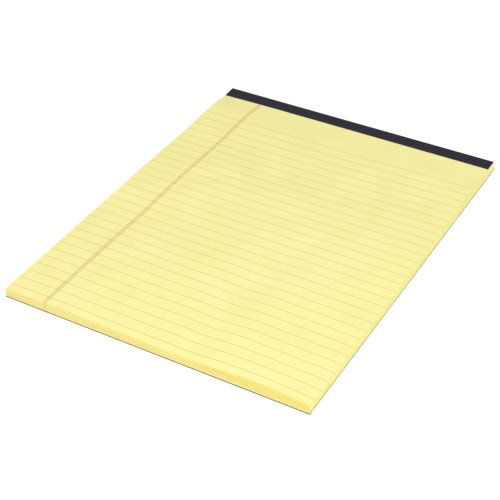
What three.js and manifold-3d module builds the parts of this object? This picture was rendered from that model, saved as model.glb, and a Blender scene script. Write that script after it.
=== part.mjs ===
// A legal pad: a block of ruled sheets on a chipboard back, wire-stitched through the stub at its
// head and bound there with one strip of tape that folds over the head from face to back.
//
// Millimetres. +Y runs to the bound head, +X to the right of the writing face, +Z up.
// The origin is the centre of the footprint, on the surface that the pad lies on.

import * as THREE from "three";
import { mergeVertices } from "three/addons/utils/BufferGeometryUtils.js";
import Module from "manifold-3d";

const INCH = 25.4;

// Sheets
const sheetWidth = 8.5 * INCH;
const tearOffLength = 11 * INCH;
const stubLength = 0.5 * INCH;
const sheetCount = 50;
const sheetPitch = 0.109; // one sheet with the air above it
const stubSquash = 0.9; // the stitched stub is this much thinner than the loose sheets
const riseLength = 38; // from the tape's edge to the full thickness

// Chipboard back
const boardThickness = 0.8;
const frontOverhang = 1.1; // past the sheets at the front
const rightOverhang = 0.8; // past the sheets at the right; flush with them at the left

// Binding tape
const tapeThickness = 0.15;
const tapeReach = 11.5; // from the head, on the face and on the back alike
const foldSegments = 4;

// Wire stitches: flat wire, driven down through the stub and the board and clinched inwards
const stitchCount = 4;
const stitchCrown = 0.5 * INCH;
const wireThickness = 0.4; // in the plane of the bends
const wireWidth = 0.7;
const bendRadius = 0.8; // outside of each bend
const clinchLength = 4.5; // each leg's turned end, from the leg's outer face
const wireClearance = 0.3; // beside the wire
const wireHeadroom = 0.05; // over and under the wire
const crownSink = 0.45; // how deep each crown is pressed into the stub

const riseSegments = 12;

// Places along X, Y and Z that the sizes above settle
const boardWidth = sheetWidth + rightOverhang;
const leftSide = -boardWidth / 2;
const sheetRight = leftSide + sheetWidth;
const boardRight = leftSide + boardWidth;
const sheetLength = tearOffLength + stubLength;
const footprintLength = frontOverhang + sheetLength + tapeThickness;
const boardFront = -footprintLength / 2;
const sheetFront = boardFront + frontOverhang;
const sheetHead = sheetFront + sheetLength;
const tapeEdge = sheetHead - tapeReach;
const blockTop = boardThickness + sheetCount * sheetPitch;
const stubTop = blockTop - stubSquash;
const crownTop = stubTop - crownSink;
const stitchLine = sheetHead - stubLength / 2;

// Turns a profile drawn in the Y-Z plane into a solid from the pad's left side to the given X.
function acrossPad(profile, toX, curveSegments = 1) {
  const geometry = new THREE.ExtrudeGeometry(profile, {
    depth: toX - leftSide,
    bevelEnabled: false,
    curveSegments,
  });
  const toPadAxes = new THREE.Matrix4().makeBasis(
    new THREE.Vector3(0, 1, 0),
    new THREE.Vector3(0, 0, 1),
    new THREE.Vector3(1, 0, 0),
  );
  return geometry.applyMatrix4(toPadAxes.setPosition(leftSide, 0, 0));
}

function boxBetween(low, high) {
  const size = high.map((value, axis) => value - low[axis]);
  const middle = high.map((value, axis) => (value + low[axis]) / 2);
  return new THREE.BoxGeometry(...size).translate(...middle);
}

const wasm = await Module();
wasm.setup();

function toSolid(geometry) {
  const bare = geometry.clone();
  bare.deleteAttribute("normal");
  bare.deleteAttribute("uv");
  const merged = mergeVertices(bare);
  return new wasm.Manifold(
    new wasm.Mesh({
      numProp: 3,
      vertProperties: merged.attributes.position.array,
      triVerts: new Uint32Array(merged.index.array),
    }),
  );
}

function cutAway(geometry, cutters) {
  let solid = toSolid(geometry);
  for (const cutter of cutters) {
    solid = solid.subtract(toSolid(cutter));
  }
  const { vertProperties, triVerts } = solid.getMesh();
  const cut = new THREE.BufferGeometry();
  cut.setAttribute("position", new THREE.BufferAttribute(vertProperties, 3));
  cut.setIndex(new THREE.BufferAttribute(triVerts, 1));
  const faceted = cut.toNonIndexed();
  faceted.computeVertexNormals();
  return faceted;
}

// The middle of each stitch across the sheets, evenly spread with half a space at either end.
const stitchSpacing = sheetWidth / stitchCount;
const stitchCentres = Array.from(
  { length: stitchCount },
  (_, index) => leftSide + (index + 0.5) * stitchSpacing,
);

// A slot over the stitch line, as wide as the wire with its clearance, between two X and two Z.
function wireSlot(fromX, toX, fromZ, toZ) {
  const halfWidth = wireWidth / 2 + wireClearance;
  return boxBetween([fromX, stitchLine - halfWidth, fromZ], [toX, stitchLine + halfWidth, toZ]);
}

// The two upright holes that one stitch's legs pass through.
function legHoles(centre, fromZ, toZ) {
  const legCentre = (stitchCrown - wireThickness) / 2;
  const halfHole = wireThickness / 2 + wireClearance;
  return [-legCentre, legCentre].map((offset) =>
    wireSlot(centre + offset - halfHole, centre + offset + halfHole, fromZ, toZ),
  );
}

function wireTrough(centre, fromZ, toZ) {
  const halfLength = stitchCrown / 2 + wireClearance;
  return wireSlot(centre - halfLength, centre + halfLength, fromZ, toZ);
}

// The sheets as one block: flat and thin at the stub, rising to full thickness past the tape.
function pageBlock() {
  const riseEnd = tapeEdge - riseLength;
  const riseMiddle = tapeEdge - riseLength / 2;
  const profile = new THREE.Shape();
  profile.moveTo(sheetFront, boardThickness);
  profile.lineTo(sheetHead, boardThickness);
  profile.lineTo(sheetHead, stubTop);
  profile.lineTo(tapeEdge, stubTop);
  profile.bezierCurveTo(riseMiddle, stubTop, riseMiddle, blockTop, riseEnd, blockTop);
  profile.lineTo(sheetFront, blockTop);
  profile.closePath();
  const troughFloor = crownTop - wireThickness - wireHeadroom;
  const cutters = stitchCentres.flatMap((centre) => [
    wireTrough(centre, troughFloor, blockTop),
    ...legHoles(centre, 0, blockTop),
  ]);
  return cutAway(acrossPad(profile, sheetRight, riseSegments), cutters);
}

// The chipboard, pressed thinner under the tape so that tape and board lie flush below.
function backingBoard() {
  const profile = new THREE.Shape();
  profile.moveTo(boardFront, 0);
  profile.lineTo(tapeEdge, 0);
  profile.lineTo(tapeEdge, tapeThickness);
  profile.lineTo(sheetHead, tapeThickness);
  profile.lineTo(sheetHead, boardThickness);
  profile.lineTo(boardFront, boardThickness);
  profile.closePath();
  const troughCeiling = tapeThickness + wireThickness + wireHeadroom;
  const cutters = stitchCentres.flatMap((centre) => [
    wireTrough(centre, 0, troughCeiling),
    ...legHoles(centre, 0, blockTop),
  ]);
  return cutAway(acrossPad(profile, boardRight), cutters);
}

// One strip of tape, folded round the head: a flap on the face, the head wall, a flap on the back.
function bindingTape() {
  const tapeTop = stubTop + tapeThickness;
  const outerWall = sheetHead + tapeThickness;
  const profile = new THREE.Shape();
  profile.moveTo(tapeEdge, 0);
  profile.lineTo(sheetHead, 0);
  profile.absarc(sheetHead, tapeThickness, tapeThickness, -Math.PI / 2, 0);
  profile.lineTo(outerWall, stubTop);
  profile.absarc(sheetHead, stubTop, tapeThickness, 0, Math.PI / 2);
  profile.lineTo(tapeEdge, tapeTop);
  profile.lineTo(tapeEdge, stubTop);
  profile.lineTo(sheetHead, stubTop);
  profile.lineTo(sheetHead, tapeThickness);
  profile.lineTo(tapeEdge, tapeThickness);
  profile.closePath();
  return acrossPad(profile, sheetRight, foldSegments);
}

// One stitch of flat wire, drawn in the X-Z plane about its own middle: crown, legs and clinches.
function stitch() {
  const halfCrown = stitchCrown / 2;
  const top = crownTop;
  const bottom = tapeThickness;
  const innerRadius = bendRadius - wireThickness;
  const quarter = Math.PI / 2;
  const profile = new THREE.Shape();
  profile.moveTo(halfCrown - clinchLength, bottom);
  profile.absarc(halfCrown - bendRadius, bottom + bendRadius, bendRadius, -quarter, 0);
  profile.absarc(halfCrown - bendRadius, top - bendRadius, bendRadius, 0, quarter);
  profile.absarc(bendRadius - halfCrown, top - bendRadius, bendRadius, quarter, 2 * quarter);
  profile.absarc(bendRadius - halfCrown, bottom + bendRadius, bendRadius, -2 * quarter, -quarter);
  profile.lineTo(clinchLength - halfCrown, bottom);
  profile.lineTo(clinchLength - halfCrown, bottom + wireThickness);
  profile.absarc(bendRadius - halfCrown, bottom + bendRadius, innerRadius, -quarter, -2 * quarter, true);
  profile.absarc(bendRadius - halfCrown, top - bendRadius, innerRadius, 2 * quarter, quarter, true);
  profile.absarc(halfCrown - bendRadius, top - bendRadius, innerRadius, quarter, 0, true);
  profile.absarc(halfCrown - bendRadius, bottom + bendRadius, innerRadius, 0, -quarter, true);
  profile.lineTo(halfCrown - clinchLength, bottom + wireThickness);
  profile.closePath();
  const wire = new THREE.ExtrudeGeometry(profile, {
    depth: wireWidth,
    bevelEnabled: false,
    curveSegments: foldSegments,
  });
  return wire.translate(0, 0, -wireWidth / 2).rotateX(quarter);
}

const canaryPaper = new THREE.MeshStandardMaterial({ color: 0xf9f1a3, roughness: 0.9, metalness: 0 });
const chipboard = new THREE.MeshStandardMaterial({ color: 0x978c74, roughness: 0.95, metalness: 0 });
const darkTape = new THREE.MeshStandardMaterial({ color: 0x32313b, roughness: 0.55, metalness: 0 });
const steelWire = new THREE.MeshStandardMaterial({ color: 0xb9bcc0, roughness: 0.35, metalness: 1 });

const pad = new THREE.Group();

function addPiece(name, geometry, material) {
  const piece = new THREE.Mesh(geometry, material);
  piece.name = name;
  pad.add(piece);
  return piece;
}

addPiece("page_block", pageBlock(), canaryPaper);
addPiece("backing_board", backingBoard(), chipboard);
addPiece("binding_tape", bindingTape(), darkTape);
stitchCentres.forEach((centre, index) => {
  const piece = addPiece(`wire_stitch_${index + 1}`, stitch(), steelWire);
  piece.position.set(centre, stitchLine, 0);
});

export default pad;
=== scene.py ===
"""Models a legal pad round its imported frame: the block of ruled sheets, the chipboard back and the
binding tape, with steel for the wire stitches under it, a plain studio stage and a camera."""

import math
import random

import bmesh
import bpy
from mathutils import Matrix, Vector


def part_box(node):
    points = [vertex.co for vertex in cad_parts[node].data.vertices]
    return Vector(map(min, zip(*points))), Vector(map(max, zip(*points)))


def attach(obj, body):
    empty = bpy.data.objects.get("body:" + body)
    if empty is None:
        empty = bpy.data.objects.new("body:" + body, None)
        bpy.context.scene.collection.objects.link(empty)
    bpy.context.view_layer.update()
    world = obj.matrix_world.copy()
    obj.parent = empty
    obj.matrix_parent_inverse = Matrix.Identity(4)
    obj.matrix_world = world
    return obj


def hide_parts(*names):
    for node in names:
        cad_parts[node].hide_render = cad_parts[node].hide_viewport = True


bl_info = {
    "name": "Legal Pad",
    "version": (1, 0, 0),
    "blender": (4, 5, 0),
    "location": "3D View > Sidebar > Legal Pad",
    "description": "Models a ruled writing pad on its packed frame",
    "category": "Add Mesh",
}

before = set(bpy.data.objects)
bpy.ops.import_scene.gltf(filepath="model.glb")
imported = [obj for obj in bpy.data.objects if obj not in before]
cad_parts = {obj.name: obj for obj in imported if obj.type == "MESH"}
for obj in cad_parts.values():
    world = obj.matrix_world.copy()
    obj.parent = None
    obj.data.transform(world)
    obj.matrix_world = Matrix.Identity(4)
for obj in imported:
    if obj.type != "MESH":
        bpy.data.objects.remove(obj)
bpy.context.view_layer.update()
BLOCK_LOW, BLOCK_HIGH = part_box("page_block")
BOARD_LOW, BOARD_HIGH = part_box("backing_board")
TAPE_LOW, TAPE_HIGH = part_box("binding_tape")
STITCH_NAMES = sorted(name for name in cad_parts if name.startswith("wire_stitch"))

MM = 0.001
TINY = 1e-6  # slack when parts are picked by their place or merged
TAPE_THICKNESS = 0.15 * MM
LATTICE_COUNTS = (34, 46, 2)  # points across, along and up, for the sheets and the tape alike

SHEET_COLUMNS = 54  # faces across the top sheet, before the margin lines are cut in
TAPE_COLUMNS = 60  # faces across the tape
TAPE_ROWS = 5  # faces along the tape's flap on the face
FOLD_STEPS = 5  # faces round each of its folds
WALL_STEPS = 4  # faces down its wall at the head, and as many along its flap on the back

RISE_START = 4  # from the tape's edge to where the sheets begin to rise, in millimetres
RISE_END = 38  # and to where they lie at their full thickness
RISE_START_LEFT = 1  # the same two at the left side
RISE_END_LEFT = 16
LEFT_REACH = 40 * MM  # how far the left side's quicker rise reaches across the pad
SAG_REACH = 25 * MM  # and how far the sag of the head's left corner reaches
LEFT_SKEW = 0.75  # share of the foot's skew by which its left corner lies back

KEY_LIGHT_PLACE = (0.38, -0.62, 1.22)  # in metres, like the two sizes below
KEY_LIGHT_SIZE = 0.9
FLOOR_SIZE = 8
FLOOR_GAP = 0.02 * MM  # the floor lies this far under the pad
FLOOR_GLOW = 0.25


# ---------------------------------------------------------------- settings


class LegalPadSheets(bpy.types.PropertyGroup):
    """The block of sheets: how many there are, how they are ruled and what colours they have."""

    sheet_count: bpy.props.IntProperty(
        name="Sheets", description="How many sheets the block has", default=50, min=10, max=100
    )
    rule_spacing: bpy.props.FloatProperty(
        name="Rule spacing",
        description="From one printed rule to the next",
        default=8.722 * MM,
        min=5 * MM,
        unit="LENGTH",
        subtype="DISTANCE",
        precision=5,
    )
    first_rule: bpy.props.FloatProperty(
        name="Head space",
        description="From the bound head to the first rule",
        default=41.95 * MM,
        min=15 * MM,
        unit="LENGTH",
        subtype="DISTANCE",
        precision=5,
    )
    rule_count: bpy.props.IntProperty(
        name="Rules", description="How many rules are printed", default=29, min=1, max=60
    )
    rule_width: bpy.props.FloatProperty(
        name="Rule width",
        description="Width of one printed rule",
        default=0.5 * MM,
        min=0.05 * MM,
        unit="LENGTH",
        subtype="DISTANCE",
        precision=5,
    )
    margin_place: bpy.props.FloatProperty(
        name="Margin",
        description="From the left edge to the middle of the double margin line",
        default=30.1 * MM,
        min=5 * MM,
        unit="LENGTH",
        subtype="DISTANCE",
        precision=5,
    )
    margin_gap: bpy.props.FloatProperty(
        name="Margin gap",
        description="From the middle of one margin line to the middle of the other",
        default=1.6 * MM,
        min=0.5 * MM,
        unit="LENGTH",
        subtype="DISTANCE",
        precision=5,
    )
    margin_width: bpy.props.FloatProperty(
        name="Margin line width",
        description="Width of each margin line",
        default=0.42 * MM,
        min=0.05 * MM,
        unit="LENGTH",
        subtype="DISTANCE",
        precision=5,
    )
    margin_skew: bpy.props.FloatProperty(
        name="Margin skew",
        description="How far the margin line runs out of square, to the right at the head",
        default=math.radians(0.155),
        unit="ROTATION",
        subtype="ANGLE",
    )
    head_squash: bpy.props.FloatProperty(
        name="Head squash",
        description="How much thinner the stitched head is than the loose sheets",
        default=0.9 * MM,
        min=0,
        unit="LENGTH",
        subtype="DISTANCE",
        precision=5,
    )
    head_tilt: bpy.props.FloatProperty(
        name="Head tilt",
        description="How much thicker the stitched head is at the right than at the left",
        default=0.94 * MM,
        unit="LENGTH",
        subtype="DISTANCE",
        precision=5,
    )
    side_slant: bpy.props.FloatProperty(
        name="Side slant",
        description="How far in the top sheet is trimmed at the right",
        default=0.45 * MM,
        unit="LENGTH",
        subtype="DISTANCE",
        precision=5,
    )
    side_lean: bpy.props.FloatProperty(
        name="Side lean",
        description="How far the lowest sheet lies to the right of the top one",
        default=0.75 * MM,
        unit="LENGTH",
        subtype="DISTANCE",
        precision=5,
    )
    foot_lean: bpy.props.FloatProperty(
        name="Foot lean",
        description="How far the lowest sheet reaches out past the top one at the foot",
        default=1.05 * MM,
        unit="LENGTH",
        subtype="DISTANCE",
        precision=5,
    )
    foot_skew: bpy.props.FloatProperty(
        name="Foot skew",
        description="How far the chipboard's foot, and the lowest sheets with it, lie out of square",
        default=0.8 * MM,
        unit="LENGTH",
        subtype="DISTANCE",
        precision=5,
    )
    waviness: bpy.props.FloatProperty(
        name="Waviness",
        description="How far the sheets bulge and dip, 0 for flat",
        default=1.0,
        min=0,
        max=2,
        subtype="FACTOR",
    )
    paper_colour: bpy.props.FloatVectorProperty(
        name="Paper",
        description="Colour of the sheets' faces",
        default=(0.865, 0.804, 0.34),
        min=0,
        max=1,
        size=3,
        subtype="COLOR",
    )
    side_colour: bpy.props.FloatVectorProperty(
        name="Side edges",
        description="Colour of the sheets' edges along the sides",
        default=(0.87, 0.785, 0.308),
        min=0,
        max=1,
        size=3,
        subtype="COLOR",
    )
    foot_colour: bpy.props.FloatVectorProperty(
        name="Foot edges",
        description="Colour of the sheets' edges at the foot, where they are deepest",
        default=(0.758, 0.65, 0.172),
        min=0,
        max=1,
        size=3,
        subtype="COLOR",
    )
    rule_colour: bpy.props.FloatVectorProperty(
        name="Rule ink",
        description="Colour of the printed rules",
        default=(0.6, 0.55, 0.19),
        min=0,
        max=1,
        size=3,
        subtype="COLOR",
    )
    margin_colour: bpy.props.FloatVectorProperty(
        name="Margin ink",
        description="Colour of the double margin line",
        default=(0.546, 0.2, 0.124),
        min=0,
        max=1,
        size=3,
        subtype="COLOR",
    )


class LegalPadBinding(bpy.types.PropertyGroup):
    """The binding: the tape, the stitches under it and the chipboard back."""

    fold_radius: bpy.props.FloatProperty(
        name="Fold radius",
        description="Outside radius of the tape's folds over the head",
        default=0.35 * MM,
        min=0.16 * MM,
        unit="LENGTH",
        subtype="DISTANCE",
        precision=5,
    )
    tape_colour: bpy.props.FloatVectorProperty(
        name="Tape",
        description="Colour of the binding tape",
        default=(0.0178, 0.0172, 0.0247),
        min=0,
        max=1,
        size=3,
        subtype="COLOR",
    )
    board_colour: bpy.props.FloatVectorProperty(
        name="Chipboard",
        description="Colour of the chipboard back",
        default=(0.33, 0.28, 0.175),
        min=0,
        max=1,
        size=3,
        subtype="COLOR",
    )
    # Part real edge colour, part painted shadow: the cut edges are made darker than the chipboard
    # itself, so they also stand in for the contact shadow under the pad.
    board_edge_and_shadow_colour: bpy.props.FloatVectorProperty(
        name="Chipboard edge",
        description="Colour of the chipboard's cut edges",
        default=(0.13, 0.11, 0.062),
        min=0,
        max=1,
        size=3,
        subtype="COLOR",
    )
    wire_colour: bpy.props.FloatVectorProperty(
        name="Wire",
        description="Colour of the stitching wire",
        default=(0.6, 0.61, 0.62),
        min=0,
        max=1,
        size=3,
        subtype="COLOR",
    )


class LegalPadStage(bpy.types.PropertyGroup):
    """The stage: the camera's place and the strength of the light."""

    azimuth: bpy.props.FloatProperty(
        name="Azimuth",
        description="Camera's turn to the right of straight in front",
        default=math.radians(29.75),
        unit="ROTATION",
        subtype="ANGLE",
    )
    elevation: bpy.props.FloatProperty(
        name="Elevation",
        description="Camera's angle above the horizon",
        default=math.radians(36.83),
        unit="ROTATION",
        subtype="ANGLE",
    )
    distance: bpy.props.FloatProperty(
        name="Distance",
        description="From the camera to the point it looks at",
        default=896.8 * MM,
        min=0.1,
        unit="LENGTH",
        subtype="DISTANCE",
    )
    aim: bpy.props.FloatVectorProperty(
        name="Aim",
        description="The point that the camera looks at",
        default=(-13.0 * MM, -34.8 * MM, 0.0),
        size=3,
        unit="LENGTH",
        subtype="TRANSLATION",
        precision=5,
    )
    lens: bpy.props.FloatProperty(
        name="Lens", description="Focal length of the camera", default=97.35, unit="CAMERA"
    )
    side_shift: bpy.props.FloatProperty(
        name="Side shift", description="Sideways shift of the camera's lens", default=0.053
    )
    sky_strength: bpy.props.FloatProperty(
        name="Surround", description="Strength of the even light all round", default=0.61, min=0
    )
    key_power: bpy.props.FloatProperty(
        name="Key light", description="Power of the large soft light", default=12.45, min=0
    )


class LegalPadSettings(bpy.types.PropertyGroup):
    """All the settings of the pad."""

    sheets: bpy.props.PointerProperty(type=LegalPadSheets)
    binding: bpy.props.PointerProperty(type=LegalPadBinding)
    stage: bpy.props.PointerProperty(type=LegalPadStage)


# ---------------------------------------------------------------- bench tools


def clear_the_bench():
    """Leaves edit mode and deselects everything."""
    if bpy.context.mode != "OBJECT":
        bpy.ops.object.mode_set(mode="OBJECT")
    bpy.ops.object.select_all(action="DESELECT")


def take_up(piece):
    """Makes one piece the only one selected, and active."""
    clear_the_bench()
    piece.select_set(True)
    bpy.context.view_layer.objects.active = piece


def open_for_editing(piece, mode="FACE"):
    take_up(piece)
    bpy.ops.object.mode_set(mode="EDIT")
    bpy.ops.mesh.select_mode(type=mode)


def close_editing():
    bpy.ops.object.mode_set(mode="OBJECT")


def select_where(piece, kind, wanted):
    """In edit mode, selects the faces, edges or verts that are wanted, and nothing else."""
    bpy.ops.mesh.select_all(action="DESELECT")
    mesh = bmesh.from_edit_mesh(piece.data)
    chosen = [part for part in getattr(mesh, kind) if wanted(part)]
    for part in chosen:
        part.select_set(True)
    bmesh.update_edit_mesh(piece.data)
    return len(chosen)


def edge_middle(edge):
    return (edge.verts[0].co + edge.verts[1].co) / 2


def set_at_origin(piece):
    """Applies the piece's place, turn and size to its mesh."""
    take_up(piece)
    bpy.ops.object.transform_apply(location=True, rotation=True, scale=True)


def apply_modifier(piece, modifier):
    take_up(piece)
    bpy.ops.object.modifier_apply(modifier=modifier.name)


def give_materials(piece, materials):
    piece.data.materials.clear()
    for material in materials:
        piece.data.materials.append(material)


def paint_faces(piece, slot_index, wanted):
    """In edit mode, gives the wanted faces one of the piece's materials."""
    if select_where(piece, "faces", wanted):
        piece.active_material_index = slot_index
        bpy.ops.object.material_slot_assign()


def ease_with_lattice(piece, low, high, offset):
    """Bends a piece in a lattice round the box low to high: offset gives each lattice point's move
    from its place in the box."""
    clear_the_bench()
    centre, size = (low + high) / 2, high - low
    bpy.ops.object.add(type="LATTICE", location=centre)
    cage = bpy.context.object
    cage.scale = size
    grid = cage.data
    grid.points_u, grid.points_v, grid.points_w = LATTICE_COUNTS
    grid.interpolation_type_u = "KEY_CARDINAL"
    grid.interpolation_type_v = "KEY_CARDINAL"
    grid.interpolation_type_w = "KEY_LINEAR"
    for point in grid.points:
        place = Vector(centre[axis] + point.co[axis] * size[axis] for axis in range(3))
        move = offset(place)
        point.co_deform = Vector(point.co[axis] + move[axis] / size[axis] for axis in range(3))
    bend = piece.modifiers.new("Lattice", "LATTICE")
    bend.object = cage
    apply_modifier(piece, bend)
    bpy.data.objects.remove(cage)


# ---------------------------------------------------------------- material tools


def start_material(name, base, roughness, specular, metallic=0.0):
    """A material with one Principled shader, its node tree and that shader."""
    material = bpy.data.materials.new(name)
    material.use_nodes = True
    shader = material.node_tree.nodes["Principled BSDF"]
    shader.inputs["Base Color"].default_value = (*base, 1)
    shader.inputs["Roughness"].default_value = roughness
    shader.inputs["Specular IOR Level"].default_value = specular
    shader.inputs["Metallic"].default_value = metallic
    return material, material.node_tree, shader


def stretched_place(tree, scale=(1, 1, 1), turn=0.0):
    """The place on the piece, stretched along each axis and turned about Z."""
    place = tree.nodes.new("ShaderNodeTexCoord")
    mapping = tree.nodes.new("ShaderNodeMapping")
    mapping.inputs["Scale"].default_value = scale
    mapping.inputs["Rotation"].default_value = (0, 0, turn)
    tree.links.new(place.outputs["Object"], mapping.inputs["Vector"])
    return mapping.outputs["Vector"]


def speckle(tree, vector, scale, detail=3.0, rough=0.5, distortion=0.0):
    """Soft noise in the place that vector gives, scale of its spots to a metre."""
    texture = tree.nodes.new("ShaderNodeTexNoise")
    texture.inputs["Scale"].default_value = scale
    texture.inputs["Detail"].default_value = detail
    texture.inputs["Roughness"].default_value = rough
    texture.inputs["Distortion"].default_value = distortion
    tree.links.new(vector, texture.inputs["Vector"])
    return texture.outputs["Fac"]


def spread(tree, value, from_low, from_high, to_low, to_high):
    """Maps a value from one range to another, clamped."""
    node = tree.nodes.new("ShaderNodeMapRange")
    node.inputs["From Min"].default_value = from_low
    node.inputs["From Max"].default_value = from_high
    node.inputs["To Min"].default_value = to_low
    node.inputs["To Max"].default_value = to_high
    tree.links.new(value, node.inputs["Value"])
    return node.outputs["Result"]


def combine(tree, operation, first, second):
    """One math node; second may be a number."""
    node = tree.nodes.new("ShaderNodeMath")
    node.operation = operation
    tree.links.new(first, node.inputs[0])
    if isinstance(second, (int, float)):
        node.inputs[1].default_value = second
    else:
        tree.links.new(second, node.inputs[1])
    return node.outputs[0]


def blend_colours(tree, amount, first, second):
    """Mixes two colours; each may be a colour or another node's output."""
    node = tree.nodes.new("ShaderNodeMix")
    node.data_type = "RGBA"
    tree.links.new(amount, node.inputs["Factor"])
    for socket, colour in ((node.inputs[6], first), (node.inputs[7], second)):
        if isinstance(colour, bpy.types.NodeSocket):
            tree.links.new(colour, socket)
        else:
            socket.default_value = (*colour, 1)
    return node.outputs[2]


def raise_bumps(tree, shader, height, strength, distance):
    bump = tree.nodes.new("ShaderNodeBump")
    bump.inputs["Strength"].default_value = strength
    bump.inputs["Distance"].default_value = distance
    tree.links.new(height, bump.inputs["Height"])
    tree.links.new(bump.outputs["Normal"], shader.inputs["Normal"])


def shade(colour, factor):
    return tint(colour, (factor,) * 3)


def tint(colour, factors):
    """A colour with each channel multiplied by its own factor, up to full strength."""
    return tuple(min(1.0, channel * factor) for channel, factor in zip(colour, factors))


def part_inked(edge, ink, share):
    """The colour of a paper edge with a share of ink in it."""
    return tuple((1 - share) * bare + share * dyed for bare, dyed in zip(edge, ink))


# ---------------------------------------------------------------- materials of the pad


def paper_tooth(tree, shader, strength=0.35):
    """The felt of uncoated paper: fine fibres and a slightly uneven sheet."""
    fibres = speckle(tree, stretched_place(tree, (1, 0.4, 1), 0.2), 1700, 4, 0.6)
    felt = speckle(tree, stretched_place(tree), 420, 3, 0.5)
    height = combine(tree, "ADD", fibres, combine(tree, "MULTIPLY", felt, 0.8))
    raise_bumps(tree, shader, height, strength, 0.03 * MM)
    tree.links.new(spread(tree, felt, 0.3, 0.7, 0.78, 0.94), shader.inputs["Roughness"])


def canary_paper(colour):
    """Face of a sheet: soft cloudiness, fine fibres and a few dark flecks."""
    material, tree, shader = start_material("canary_paper", colour, 0.88, 0.2)
    clouds = speckle(tree, stretched_place(tree), 45, 4, 0.55)
    fibres = speckle(tree, stretched_place(tree, (1, 0.35, 1), 0.2), 1100, 3, 0.6)
    flecks = speckle(tree, stretched_place(tree), 800, 1, 0.3)
    cloudy = blend_colours(
        tree,
        spread(tree, clouds, 0.3, 0.7, 0, 1),
        tint(colour, (0.975, 0.97, 0.93)),
        tint(colour, (1.02, 1.025, 1.06)),
    )
    fibrous = blend_colours(
        tree, spread(tree, fibres, 0.35, 0.75, 0, 0.16), cloudy, tint(colour, (0.86, 0.84, 0.7))
    )
    flecked = blend_colours(
        tree, spread(tree, flecks, 0.74, 0.8, 0, 0.22), fibrous, tint(colour, (0.7, 0.66, 0.5))
    )
    tree.links.new(flecked, shader.inputs["Base Color"])
    paper_tooth(tree, shader)
    return material


def printed_ink(name, colour):
    """A thin film of ink in the paper's tooth."""
    material, tree, shader = start_material(name, colour, 0.8, 0.2)
    paper_tooth(tree, shader)
    return material


def place_along(tree, axis):
    """The distance along one axis of the piece, in metres."""
    place = tree.nodes.new("ShaderNodeTexCoord")
    parts = tree.nodes.new("ShaderNodeSeparateXYZ")
    tree.links.new(place.outputs["Object"], parts.inputs["Vector"])
    return parts.outputs[axis]


def trimmed_edges(name, colour, lowest=1.2, across=0.0):
    """The stack's trimmed sides: each sheet's edge a little lighter or darker than the next, in
    patches that run along the sheets. The lowest sheets are paler, their blue multiplied by
    lowest, and across makes the left end paler too."""
    material, tree, shader = start_material(name, colour, 0.92, 0.15)
    sheets = speckle(tree, stretched_place(tree, (0.012, 0.012, 1)), 5200, 2, 0.6)
    bundles = speckle(tree, stretched_place(tree, (0.02, 0.02, 1)), 900, 2, 0.5)
    patches = speckle(tree, stretched_place(tree, (1, 1, 2)), 70, 3, 0.5)
    height_up = spread(tree, place_along(tree, "Z"), 1.6 * MM, 3.8 * MM, 1, 0)
    pale = tint(colour, (0.985, 1.02, lowest))
    low = blend_colours(tree, height_up, colour, pale)
    if across:
        leftness = spread(tree, place_along(tree, "X"), -80 * MM, 70 * MM, across, 0)
        low = blend_colours(tree, leftness, low, tint(colour, (1.05, 1.12, 1.75)))
    lines = combine(tree, "ADD", sheets, combine(tree, "MULTIPLY", bundles, 0.7))
    lined = blend_colours(
        tree, spread(tree, lines, 0.55, 0.85, 0.55, 0), low, tint(colour, (0.84, 0.8, 0.62))
    )
    patched = blend_colours(
        tree, spread(tree, patches, 0.35, 0.7, 0, 0.42), lined, tint(colour, (1.03, 1.06, 1.3))
    )
    tree.links.new(patched, shader.inputs["Base Color"])
    dust = speckle(tree, stretched_place(tree), 2600, 3, 0.6)
    height = combine(tree, "ADD", sheets, combine(tree, "MULTIPLY", dust, 0.5))
    raise_bumps(tree, shader, height, 0.4, 0.04 * MM)
    tree.links.new(spread(tree, dust, 0.3, 0.7, 0.84, 0.97), shader.inputs["Roughness"])
    return material


def raw_chipboard(name, colour):
    """Unbleached chipboard: short fibres all ways, dark and pale flecks, and plies at its edge."""
    material, tree, shader = start_material(name, colour, 0.92, 0.18)
    clouds = speckle(tree, stretched_place(tree), 60, 4, 0.6)
    long_fibres = speckle(tree, stretched_place(tree, (0.25, 1.6, 1), 0.5), 650, 4, 0.6, 0.4)
    cross_fibres = speckle(tree, stretched_place(tree, (1.6, 0.25, 1), 0.2), 650, 4, 0.6, 0.4)
    dark_flecks = speckle(tree, stretched_place(tree, (0.6, 1, 1), 1.0), 520, 2, 0.5)
    pale_flecks = speckle(tree, stretched_place(tree, (1, 0.5, 1), 2.1), 610, 2, 0.5)
    plies = speckle(tree, stretched_place(tree, (0.03, 0.03, 1)), 4200, 2, 0.6)
    cloudy = blend_colours(
        tree, spread(tree, clouds, 0.3, 0.7, 0, 1), shade(colour, 0.9), shade(colour, 1.1)
    )
    fibrous = blend_colours(
        tree,
        spread(tree, combine(tree, "MAXIMUM", long_fibres, cross_fibres), 0.5, 0.8, 0, 0.5),
        cloudy,
        tint(colour, (1.35, 1.35, 1.45)),
    )
    dark = blend_colours(
        tree, spread(tree, dark_flecks, 0.62, 0.7, 0, 0.6), fibrous, shade(colour, 0.45)
    )
    pale = blend_colours(
        tree, spread(tree, pale_flecks, 0.65, 0.72, 0, 0.6), dark, tint(colour, (1.8, 1.85, 2.1))
    )
    layered = blend_colours(
        tree, spread(tree, plies, 0.35, 0.7, 0, 0.3), pale, shade(colour, 0.7)
    )
    tree.links.new(layered, shader.inputs["Base Color"])
    height = combine(tree, "ADD", long_fibres, cross_fibres)
    raise_bumps(tree, shader, height, 0.5, 0.05 * MM)
    tree.links.new(spread(tree, clouds, 0.3, 0.7, 0.85, 0.97), shader.inputs["Roughness"])
    return material


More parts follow.
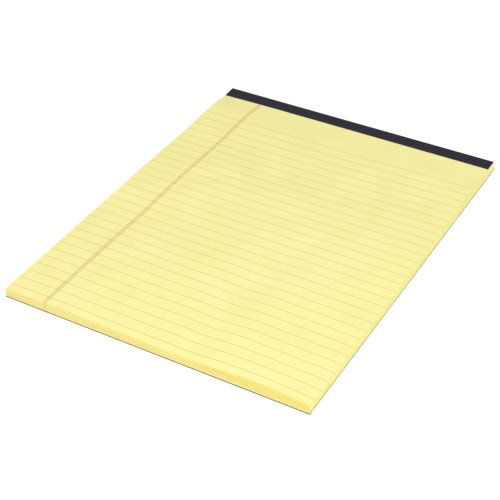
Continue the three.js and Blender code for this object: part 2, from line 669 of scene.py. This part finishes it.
def dark_binding_tape(colour):
    """Paper tape with a fine woven grain, a slightly uneven dye and a soft low sheen."""
    material, tree, shader = start_material("dark_binding_tape", colour, 0.6, 0.14)
    place = stretched_place(tree)
    both_ways = []
    for direction in ("X", "Y"):
        threads = tree.nodes.new("ShaderNodeTexWave")
        threads.bands_direction = direction
        threads.inputs["Scale"].default_value = 700
        threads.inputs["Distortion"].default_value = 1.2
        threads.inputs["Detail"].default_value = 1
        tree.links.new(place, threads.inputs["Vector"])
        both_ways.append(threads.outputs["Fac"])
    weave = combine(tree, "MULTIPLY", *both_ways)
    crepe = speckle(tree, stretched_place(tree, (0.5, 1, 1)), 900, 3, 0.6)
    blotches = speckle(tree, stretched_place(tree, (0.5, 1, 1)), 170, 4, 0.6)
    mottled = blend_colours(
        tree,
        spread(tree, blotches, 0.3, 0.7, 0, 1),
        tint(colour, (0.8, 0.78, 0.82)),
        tint(colour, (1.25, 1.2, 1.3)),
    )
    grained = blend_colours(
        tree, spread(tree, crepe, 0.45, 0.8, 0, 0.5), mottled, tint(colour, (1.9, 1.8, 1.9))
    )
    tree.links.new(grained, shader.inputs["Base Color"])
    height = combine(tree, "ADD", weave, combine(tree, "MULTIPLY", crepe, 0.8))
    raise_bumps(tree, shader, height, 0.45, 0.05 * MM)
    tree.links.new(spread(tree, blotches, 0.3, 0.7, 0.5, 0.68), shader.inputs["Roughness"])
    return material


def drawn_steel_wire(colour):
    """Zinc-plated wire: bright, with fine drawing lines along it."""
    material, tree, shader = start_material("drawn_steel_wire", colour, 0.32, 0.5, 1.0)
    lines = speckle(tree, stretched_place(tree, (0.05, 1, 1)), 5200, 3, 0.6)
    bloom = speckle(tree, stretched_place(tree), 900, 3, 0.6)
    zinc = blend_colours(
        tree, spread(tree, bloom, 0.35, 0.7, 0, 1), shade(colour, 0.86), shade(colour, 1.1)
    )
    tree.links.new(zinc, shader.inputs["Base Color"])
    raise_bumps(tree, shader, lines, 0.25, 0.02 * MM)
    tree.links.new(spread(tree, lines, 0.3, 0.7, 0.24, 0.42), shader.inputs["Roughness"])
    return material


# ---------------------------------------------------------------- the block of sheets


def rule_places(sheets):
    """Middle of each printed rule along the pad, from the head to the foot."""
    first = BLOCK_HIGH.y - sheets.first_rule
    return [first - index * sheets.rule_spacing for index in range(sheets.rule_count)]


def margin_places(sheets):
    """Middles of the two margin lines across the pad, at the foot."""
    middle = BLOCK_LOW.x + sheets.margin_place
    return [middle - sheets.margin_gap / 2, middle + sheets.margin_gap / 2]


def margin_drift(sheets, y):
    """How far the margin lines have drifted to the right at y on their way from the foot."""
    return (y - BLOCK_LOW.y) * math.tan(sheets.margin_skew)


def evenly(start, end, count):
    """count places from after start up to and with end, evenly spread."""
    return [start + (end - start) * (index + 1) / count for index in range(count)]


def row_places(sheets):
    """Where the sheet is divided along its length: at the tape's edge, at both sides of each
    rule, and between them closely enough to bend smoothly."""
    steps_under_tape, steps_to_first_rule, steps_between_rules, steps_to_foot = 3, 8, 2, 4
    places = evenly(BLOCK_HIGH.y, TAPE_LOW.y, steps_under_tape)
    half = sheets.rule_width / 2
    steps = steps_to_first_rule
    for rule in rule_places(sheets):
        places += evenly(places[-1], rule + half, steps)
        places.append(rule - half)
        steps = steps_between_rules
    places += evenly(places[-1], BLOCK_LOW.y, steps_to_foot)
    return places


# Each bulge or hollow of the loose sheets, in millimetres: where its middle is, how far it reaches
# across and along the pad, and how high it stands (or how deep it lies).
BULGES = (
    (40, -100, 40, 65, 1.8),  # broad swell right of the middle
    (25, -90, 15, 60, -1.9),  # the trough that runs down it
    (60, -80, 20, 30, -0.5),  # a dent in its right flank
    (75, -150, 25, 20, 2.2),  # the foot, lifted below it
    (30, -150, 50, 5, -1.8),  # the foot's edge, pressed down beside the lift
    (-80, -150, 15, 5, -0.7),  # and again near the left corner
    (-70, -160, 40, 200, 1),  # long rise up the left side
    (-75, -35, 25, 20, -0.8),  # a hollow across that rise
    (-35, -30, 30, 35, -0.9),  # hollow in the middle
    (-45, 70, 110, 25, -1),  # hollow from side to side, below the head
    (40, 120, 140, 25, 1),  # swell just below the tape
    (20, 115, 20, 25, -1),  # the trough's beginning in it
    (105, 105, 40, 105, 0.7),  # the right side, higher towards the head
    (115, -160, 10, 105, -1.3),  # and lower towards the foot
)
SETTLED = -0.2  # and how high the sheets lie where nothing bulges


def waves(x, y):
    """How far the loose sheets stand above (or below) the flat block, in metres."""
    lift = SETTLED
    for middle_x, middle_y, across, along, height in BULGES:
        away = ((x / MM - middle_x) / across) ** 2 + ((y / MM - middle_y) / along) ** 2
        lift += height * math.exp(-away)
    return lift * MM


def rise_from_head(x, y):
    """0 at the stitched head, 1 where the sheets lie at their full thickness, which comes sooner
    after the tape at the left side."""
    leftness = math.exp(-(((x - BLOCK_LOW.x) / LEFT_REACH) ** 2))
    start = TAPE_LOW.y - (RISE_START - (RISE_START - RISE_START_LEFT) * leftness) * MM
    end = TAPE_LOW.y - (RISE_END - (RISE_END - RISE_END_LEFT) * leftness) * MM
    share = min(1.0, max(0.0, (start - y) / (start - end)))
    return share * share * (3 - 2 * share)


def tilt_of_head(sheets, x, y):
    """How far the stitched head stands above its mean height, sagging at its front left corner."""
    half_width = (BLOCK_HIGH.x - BLOCK_LOW.x) / 2
    tilt = sheets.head_tilt / 2 * (x - BLOCK_LOW.x - half_width) / half_width
    from_head = min(1.0, max(0.0, (BLOCK_HIGH.y - y) / (BLOCK_HIGH.y - TAPE_LOW.y)))
    corner = math.exp(-(((x - BLOCK_LOW.x) / SAG_REACH) ** 2)) * from_head
    return tilt - sheets.head_tilt / 2 * corner


def slant_at_right(sheets, x):
    """How far the top of the stack is drawn in at x, growing from the middle to the right side."""
    middle = (BLOCK_LOW.x + BLOCK_HIGH.x) / 2
    return -sheets.side_slant * max(0.0, (x - middle) / (BLOCK_HIGH.x - middle))


def foot_out_of_square(sheets, leftness):
    """How the foot lies out of square, from its right corner (leftness 0) to its left one (1)."""
    return Vector((-sheets.foot_skew, LEFT_SKEW * sheets.foot_skew * leftness, 0))


def loosen(sheets):
    """Gives each lattice point of the block its move: squashed at the head, wavy further down."""
    width, length = BLOCK_HIGH.x - BLOCK_LOW.x, BLOCK_HIGH.y - BLOCK_LOW.y
    middle = (BLOCK_LOW + BLOCK_HIGH) / 2

    def offset(place):
        from_head = (BLOCK_HIGH.y - place.y) / length
        if place.z < middle.z:
            skew = foot_out_of_square(sheets, (BLOCK_HIGH.x - place.x) / width)
            return Vector((sheets.side_lean, -sheets.foot_lean * from_head, 0)) + skew * from_head
        rise = rise_from_head(place.x, place.y)
        loose = waves(place.x, place.y) * sheets.waviness
        bound = tilt_of_head(sheets, place.x, place.y) - sheets.head_squash
        slant = slant_at_right(sheets, place.x)
        return Vector((slant, 0, loose * rise + bound * (1 - rise)))

    return offset


def model_top_sheet(sheets):
    """The top sheet, drawn out row by row from a strip at the head."""
    width = BLOCK_HIGH.x - BLOCK_LOW.x
    rows = row_places(sheets)
    clear_the_bench()
    bpy.ops.mesh.primitive_grid_add(
        x_subdivisions=SHEET_COLUMNS,
        y_subdivisions=1,
        size=1,
        location=((BLOCK_LOW.x + BLOCK_HIGH.x) / 2, (BLOCK_HIGH.y + rows[0]) / 2, BLOCK_HIGH.z),
    )
    block = bpy.context.object
    block.name = block.data.name = "sheet_block"
    block.scale = (width, BLOCK_HIGH.y - rows[0], 1)
    set_at_origin(block)
    open_for_editing(block, "EDGE")
    select_where(block, "edges", lambda edge: abs(edge_middle(edge).y - rows[0]) < TINY)
    for upper, lower in zip(rows, rows[1:]):
        bpy.ops.mesh.extrude_edges_move(TRANSFORM_OT_translate={"value": (0, lower - upper, 0)})
    half = sheets.margin_width / 2
    for line in margin_places(sheets):
        for side in (line - half, line + half):
            bpy.ops.mesh.select_all(action="SELECT")
            bpy.ops.mesh.bisect(
                plane_co=(side, BLOCK_LOW.y, 0),
                plane_no=(math.cos(sheets.margin_skew), -math.sin(sheets.margin_skew), 0),
            )
    close_editing()
    return block


def model_sheets_below(block, sheets):
    """Draws the top sheet's outline down, two rings to a sheet, each sheet a hair out of line with
    the next, and closes the block underneath."""
    shuffle = random.Random(11)
    pitch = (BLOCK_HIGH.z - BLOCK_LOW.z) / sheets.sheet_count
    groove = 0.024 * MM  # how deep the line between two sheets lies
    most_slip = 0.04 * MM
    width, length = BLOCK_HIGH.x - BLOCK_LOW.x, BLOCK_HIGH.y - BLOCK_LOW.y
    middle = (BLOCK_LOW + BLOCK_HIGH) / 2
    open_for_editing(block, "EDGE")
    select_where(block, "edges", lambda edge: edge.is_boundary)
    place = Vector((0, 0))
    for index in range(sheets.sheet_count):
        slip = Vector((shuffle.uniform(-1, 1), shuffle.uniform(-1, 1))) * most_slip
        for ring, inset in enumerate((groove, -groove)):
            target = slip if ring == 0 else slip * 0.5
            if index == 0 and ring == 0:
                inset = 0
            if index == sheets.sheet_count - 1 and ring == 1:
                target = Vector((0, 0))
            step = target - place
            place = target
            bpy.ops.mesh.extrude_edges_move(
                TRANSFORM_OT_translate={"value": (step.x, step.y, -pitch / 2)}
            )
            if inset:
                bpy.ops.transform.resize(
                    value=(1 + 2 * inset / width, 1 + 2 * inset / length, 1),
                    center_override=(middle.x, middle.y, 0),
                )
    bpy.ops.mesh.edge_face_add()
    bpy.ops.mesh.select_all(action="SELECT")
    bpy.ops.mesh.normals_make_consistent(inside=False)
    close_editing()


def print_the_sheets(block, sheets):
    """Gives the top sheet its rules and margin lines, and the sides the ends of both."""
    half_rule = sheets.rule_width / 2 + TINY
    half_line = sheets.margin_width / 2 + TINY
    rules, lines = rule_places(sheets), margin_places(sheets)
    paper, rule, margin, side, foot, rule_end, margin_end = range(7)

    def on_rule(face):
        return any(abs(face.calc_center_median().y - place) < half_rule for place in rules)

    def on_line(face):
        middle = face.calc_center_median()
        across = middle.x - margin_drift(sheets, middle.y)
        return any(abs(across - place) < half_line for place in lines)

    def on_top(face):
        return face.normal.z > 0.9 and face.calc_center_median().z > BLOCK_HIGH.z - TINY

    def on_side(face):
        return abs(face.normal.z) < 0.9

    open_for_editing(block)
    paint_faces(block, paper, lambda face: not on_side(face))
    paint_faces(block, side, on_side)
    paint_faces(block, foot, lambda face: face.normal.y < -0.7)
    paint_faces(block, rule, lambda face: on_top(face) and on_rule(face))
    paint_faces(
        block,
        margin,
        lambda face: on_top(face) and on_line(face) and face.calc_center_median().y < TAPE_LOW.y,
    )
    paint_faces(
        block,
        rule_end,
        lambda face: on_side(face) and abs(face.normal.x) > 0.7 and on_rule(face),
    )
    paint_faces(
        block,
        margin_end,
        lambda face: on_side(face) and face.normal.y < -0.7 and on_line(face),
    )
    close_editing()


def make_sheet_block(sheets):
    paper, side, foot = (
        tuple(colour) for colour in (sheets.paper_colour, sheets.side_colour, sheets.foot_colour)
    )
    ink, red = tuple(sheets.rule_colour), tuple(sheets.margin_colour)
    block = model_top_sheet(sheets)
    model_sheets_below(block, sheets)
    give_materials(
        block,
        [
            canary_paper(paper),
            printed_ink("rule_ink", ink),
            printed_ink("margin_ink", red),
            trimmed_edges("side_edges", side),
            trimmed_edges("foot_edges", foot, lowest=1.75, across=0.8),
            printed_ink("rule_ends", part_inked(side, ink, 0.2)),
            printed_ink("margin_ends", part_inked(foot, red, 0.35)),
        ],
    )
    print_the_sheets(block, sheets)
    ease_with_lattice(block, BLOCK_LOW, BLOCK_HIGH, loosen(sheets))
    take_up(block)
    bpy.ops.object.shade_smooth_by_angle(angle=math.radians(25))
    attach(block, "root")
    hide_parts("page_block")
    return block


# ---------------------------------------------------------------- the back


def make_chipboard(binding, sheets):
    """The board: a slab with softened edges, pressed in underneath where the tape's flap lies, its
    foot a little out of square."""
    size = BOARD_HIGH - BOARD_LOW
    clear_the_bench()
    bpy.ops.mesh.primitive_cube_add(size=1, location=(BOARD_LOW + BOARD_HIGH) / 2)
    board = bpy.context.object
    board.name = board.data.name = "chipboard_back"
    board.scale = size
    set_at_origin(board)
    open_for_editing(board)
    bpy.ops.mesh.select_all(action="SELECT")
    bpy.ops.mesh.bisect(plane_co=(0, TAPE_LOW.y, 0), plane_no=(0, 1, 0))
    under_tape = select_where(
        board,
        "faces",
        lambda face: face.normal.z < -0.9 and face.calc_center_median().y > TAPE_LOW.y,
    )
    if not under_tape:
        raise RuntimeError("the chipboard has no face under the tape's flap")
    bpy.ops.mesh.extrude_region_move(TRANSFORM_OT_translate={"value": (0, 0, TAPE_THICKNESS)})
    bpy.ops.mesh.select_all(action="SELECT")
    bpy.ops.mesh.remove_doubles(threshold=TINY)
    bpy.ops.mesh.dissolve_limited(angle_limit=math.radians(1))
    bpy.ops.mesh.select_all(action="SELECT")
    bpy.ops.mesh.normals_make_consistent(inside=False)
    close_editing()
    open_for_editing(board, "VERT")
    for leftness in (0, 1):
        shift = foot_out_of_square(sheets, leftness)
        if leftness:
            shift.x = 0
        side = BOARD_LOW.x if leftness else BOARD_HIGH.x
        select_where(
            board,
            "verts",
            lambda vert: vert.co.y < BOARD_LOW.y + TINY and abs(vert.co.x - side) < TINY,
        )
        bpy.ops.transform.translate(value=shift)
    close_editing()
    soften = board.modifiers.new("Bevel", "BEVEL")
    soften.width = 0.09 * MM
    soften.segments = 2
    soften.limit_method = "ANGLE"
    soften.angle_limit = math.radians(40)
    apply_modifier(board, soften)
    give_materials(
        board,
        [
            raw_chipboard("raw_chipboard", tuple(binding.board_colour)),
            # The second material is the board's edge colour darkened further as painted contact
            # shadow.
            raw_chipboard("chipboard_edges", tuple(binding.board_edge_and_shadow_colour)),
        ],
    )
    open_for_editing(board)
    # The board's cut edges get the darkened material: their own edge colour plus painted contact
    # shadow.
    paint_faces(board, 1, lambda face: abs(face.normal.z) < 0.6)
    close_editing()
    bpy.ops.object.shade_smooth_by_angle(angle=math.radians(40))
    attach(board, "root")
    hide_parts("backing_board")
    return board


# ---------------------------------------------------------------- the tape


def follow_head(sheets):
    """Gives each lattice point of the tape its move, so that the tape lies on the sheets' head."""

    def offset(place):
        if place.z < (BLOCK_LOW.z + BLOCK_HIGH.z) / 2:
            return Vector((0, 0, 0))
        slant = slant_at_right(sheets, place.x)
        return Vector((slant, 0, tilt_of_head(sheets, place.x, place.y)))

    return offset


def make_binding_tape(binding, sheets):
    """The tape: a strip laid on the face, folded down the head and under the back, given its
    thickness inwards and eased onto the sheets' head."""
    radius = binding.fold_radius
    head = TAPE_HIGH.y
    top, bottom = TAPE_HIGH.z, TAPE_LOW.z
    width = TAPE_HIGH.x - TAPE_LOW.x
    flap = head - radius - TAPE_LOW.y
    clear_the_bench()
    bpy.ops.mesh.primitive_grid_add(
        x_subdivisions=TAPE_COLUMNS,
        y_subdivisions=TAPE_ROWS,
        size=1,
        location=((TAPE_LOW.x + TAPE_HIGH.x) / 2, TAPE_LOW.y + flap / 2, top),
    )
    tape = bpy.context.object
    tape.name = tape.data.name = "folded_tape"
    tape.scale = (width, flap, 1)
    set_at_origin(tape)
    open_for_editing(tape, "EDGE")
    select_where(tape, "edges", lambda edge: edge_middle(edge).y > head - radius - TINY)

    def go(dy, dz):
        bpy.ops.mesh.extrude_edges_move(TRANSFORM_OT_translate={"value": (0, dy, dz)})

    def fold(start):
        for index in range(FOLD_STEPS):
            before = start - math.pi / 2 * index / FOLD_STEPS
            after = start - math.pi / 2 * (index + 1) / FOLD_STEPS
            go(
                radius * (math.cos(after) - math.cos(before)),
                radius * (math.sin(after) - math.sin(before)),
            )

    fold(math.pi / 2)
    wall = top - bottom - 2 * radius
    for _ in range(WALL_STEPS):
        go(0, -wall / WALL_STEPS)
    fold(0)
    for _ in range(WALL_STEPS):
        go(-flap / WALL_STEPS, 0)
    bpy.ops.mesh.select_all(action="SELECT")
    bpy.ops.mesh.normals_make_consistent(inside=False)
    close_editing()
    thicken = tape.modifiers.new("Solidify", "SOLIDIFY")
    thicken.thickness = TAPE_THICKNESS
    thicken.offset = -1
    thicken.use_even_offset = True
    apply_modifier(tape, thicken)
    stub_high = Vector((BLOCK_HIGH.x, BLOCK_HIGH.y, TAPE_HIGH.z - TAPE_THICKNESS))
    ease_with_lattice(tape, BLOCK_LOW, stub_high, follow_head(sheets))
    give_materials(tape, [dark_binding_tape(tuple(binding.tape_colour))])
    take_up(tape)
    bpy.ops.object.shade_smooth_by_angle(angle=math.radians(35))
    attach(tape, "root")
    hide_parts("binding_tape")
    return tape


# ---------------------------------------------------------------- operators


class LEGALPAD_OT_sheet_block(bpy.types.Operator):
    """Models the block of ruled sheets"""

    bl_idname = "legal_pad.sheet_block"
    bl_label = "Sheet Block"

    def execute(self, context):
        make_sheet_block(context.scene.legal_pad.sheets)
        return {"FINISHED"}


class LEGALPAD_OT_chipboard(bpy.types.Operator):
    """Models the chipboard back"""

    bl_idname = "legal_pad.chipboard"
    bl_label = "Chipboard Back"

    def execute(self, context):
        make_chipboard(context.scene.legal_pad.binding, context.scene.legal_pad.sheets)
        return {"FINISHED"}


class LEGALPAD_OT_binding_tape(bpy.types.Operator):
    """Models the folded binding tape"""

    bl_idname = "legal_pad.binding_tape"
    bl_label = "Binding Tape"

    def execute(self, context):
        make_binding_tape(context.scene.legal_pad.binding, context.scene.legal_pad.sheets)
        return {"FINISHED"}


class LEGALPAD_OT_wire_stitches(bpy.types.Operator):
    """Gives the wire stitches their steel"""

    bl_idname = "legal_pad.wire_stitches"
    bl_label = "Wire Stitches"

    def execute(self, context):
        if not STITCH_NAMES:
            raise RuntimeError("the frame has no wire stitches")
        steel = drawn_steel_wire(tuple(context.scene.legal_pad.binding.wire_colour))
        for name in STITCH_NAMES:
            give_materials(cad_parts[name], [steel])
        return {"FINISHED"}


class LEGALPAD_OT_stage(bpy.types.Operator):
    """Sets up the floor, the lights and the camera"""

    bl_idname = "legal_pad.stage"
    bl_label = "Stage"

    def execute(self, context):
        settings = context.scene.legal_pad.stage
        lay_floor()
        hang_lights(settings)
        place_camera(settings)
        context.scene.view_settings.view_transform = "Standard"
        return {"FINISHED"}


# ---------------------------------------------------------------- the stage


def lay_floor():
    clear_the_bench()
    bpy.ops.mesh.primitive_plane_add(size=FLOOR_SIZE, location=(0, 0, -FLOOR_GAP))
    floor = bpy.context.object
    floor.name = "studio_floor"
    material, _, shader = start_material("studio_floor", (0.9, 0.9, 0.9), 0.9, 0.1)
    shader.inputs["Emission Color"].default_value = (1, 1, 1, 1)
    shader.inputs["Emission Strength"].default_value = FLOOR_GLOW
    give_materials(floor, [material])


def hang_area_light(name, place, size, power):
    clear_the_bench()
    bpy.ops.object.light_add(type="AREA", location=place)
    lamp = bpy.context.object
    lamp.name = name
    lamp.data.shape = "DISK"
    lamp.data.size = size
    lamp.data.energy = power
    lamp.rotation_mode = "QUATERNION"
    lamp.rotation_quaternion = Vector(place).to_track_quat("Z", "Y")


def hang_lights(settings):
    world = bpy.data.worlds.new("studio_surround")
    world.use_nodes = True
    surround = world.node_tree.nodes["Background"]
    surround.inputs["Color"].default_value = (1, 1, 1, 1)
    surround.inputs["Strength"].default_value = settings.sky_strength
    bpy.context.scene.world = world
    hang_area_light("key_light", KEY_LIGHT_PLACE, KEY_LIGHT_SIZE, settings.key_power)


def place_camera(settings):
    clear_the_bench()
    level = math.cos(settings.elevation)
    back = Vector(
        (
            math.sin(settings.azimuth) * level,
            -math.cos(settings.azimuth) * level,
            math.sin(settings.elevation),
        )
    )
    bpy.ops.object.camera_add(location=Vector(settings.aim) + back * settings.distance)
    camera = bpy.context.object
    camera.name = "studio_camera"
    camera.rotation_mode = "QUATERNION"
    camera.rotation_quaternion = back.to_track_quat("Z", "Y")
    camera.data.lens = settings.lens
    camera.data.shift_x = settings.side_shift
    camera.data.clip_start, camera.data.clip_end = 0.01, 50
    bpy.context.scene.camera = camera


# ---------------------------------------------------------------- panel and registration


MAKING_ORDER = (
    LEGALPAD_OT_sheet_block,
    LEGALPAD_OT_chipboard,
    LEGALPAD_OT_binding_tape,
    LEGALPAD_OT_wire_stitches,
    LEGALPAD_OT_stage,
)


class LEGALPAD_PT_sidebar(bpy.types.Panel):
    """Lists the settings and the making steps of the pad"""

    bl_idname = "LEGALPAD_PT_sidebar"
    bl_label = "Legal Pad"
    bl_space_type = "VIEW_3D"
    bl_region_type = "UI"
    bl_category = "Legal Pad"

    def draw(self, context):
        settings = context.scene.legal_pad
        for group in (settings.sheets, settings.binding, settings.stage):
            box = self.layout.box()
            for name in group.bl_rna.properties.keys():
                if name not in ("rna_type", "name"):
                    box.prop(group, name)
        for operator in MAKING_ORDER:
            self.layout.operator(operator.bl_idname)


CLASSES = (
    LegalPadSheets,
    LegalPadBinding,
    LegalPadStage,
    LegalPadSettings,
    *MAKING_ORDER,
    LEGALPAD_PT_sidebar,
)


def register():
    for cls in CLASSES:
        bpy.utils.register_class(cls)
    bpy.types.Scene.legal_pad = bpy.props.PointerProperty(type=LegalPadSettings)


def unregister():
    del bpy.types.Scene.legal_pad
    for cls in reversed(CLASSES):
        bpy.utils.unregister_class(cls)


def main():
    register()
    bpy.ops.legal_pad.sheet_block()
    bpy.ops.legal_pad.chipboard()
    bpy.ops.legal_pad.binding_tape()
    bpy.ops.legal_pad.wire_stitches()
    bpy.ops.legal_pad.stage()
    clear_the_bench()


if __name__ == "__main__":
    main()
